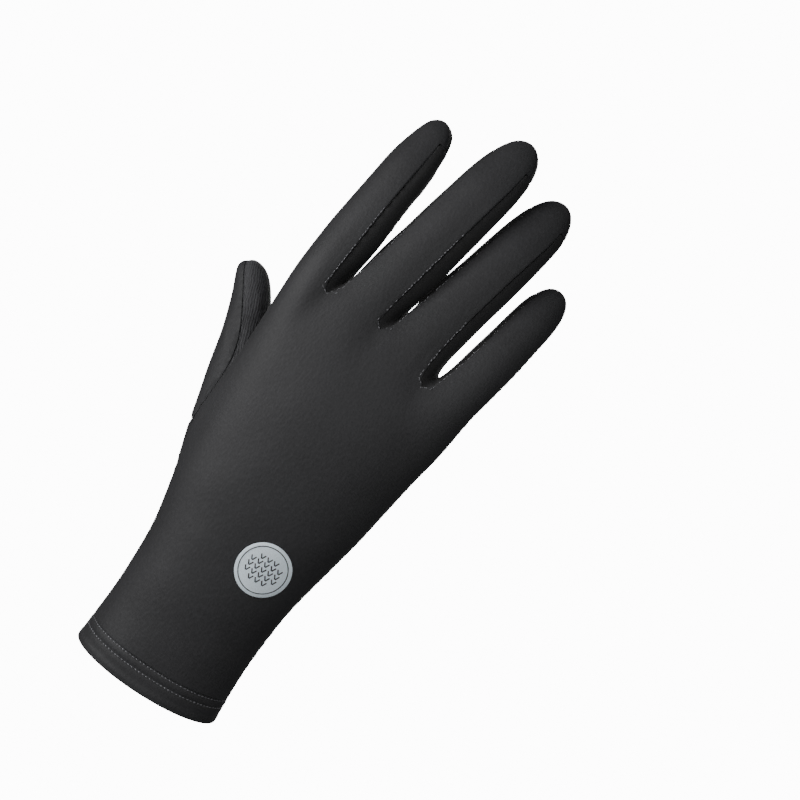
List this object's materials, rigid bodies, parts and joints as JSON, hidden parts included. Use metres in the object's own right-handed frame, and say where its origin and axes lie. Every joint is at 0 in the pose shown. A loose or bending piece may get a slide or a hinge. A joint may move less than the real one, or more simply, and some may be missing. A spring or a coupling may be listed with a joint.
{
  "type": "sun protection glove",
  "caption": "Thin stretch sun glove for the right hand, with full fingers, an open palm, a fingertip that opens and a plain cuff with a round badge.",
  "frame": {"origin": "middle of the cuff's mouth, where the wrist goes in", "axes": "+Z from the cuff to the fingertips, -Y out of the back of the hand, +Y out of the palm, -X towards the thumb"},
  "size_m": [0.1073, 0.0537, 0.2213],
  "materials": {
    "smooth_knit": "matt charcoal stretch knit with a soft sheen",
    "grip_knit": "rough black knit with small gloss grip dots",
    "strip_knit": "matt black stretch knit",
    "silver_transfer": "satin silver heat transfer"
  },
  "bodies": {
    "root": {"back_panel": "smooth_knit", "palm_panel": "grip_knit", "wrist_panel": "smooth_knit", "fourchette_index_middle": "strip_knit", "fourchette_middle_ring": "strip_knit", "fourchette_ring_little": "strip_knit", "index_tip_flap": "grip_knit", "thumb_back": "smooth_knit", "thumb_pad": "grip_knit", "cuff_hem": "smooth_knit", "badge": "silver_transfer"}
  },
  "joints": []
}
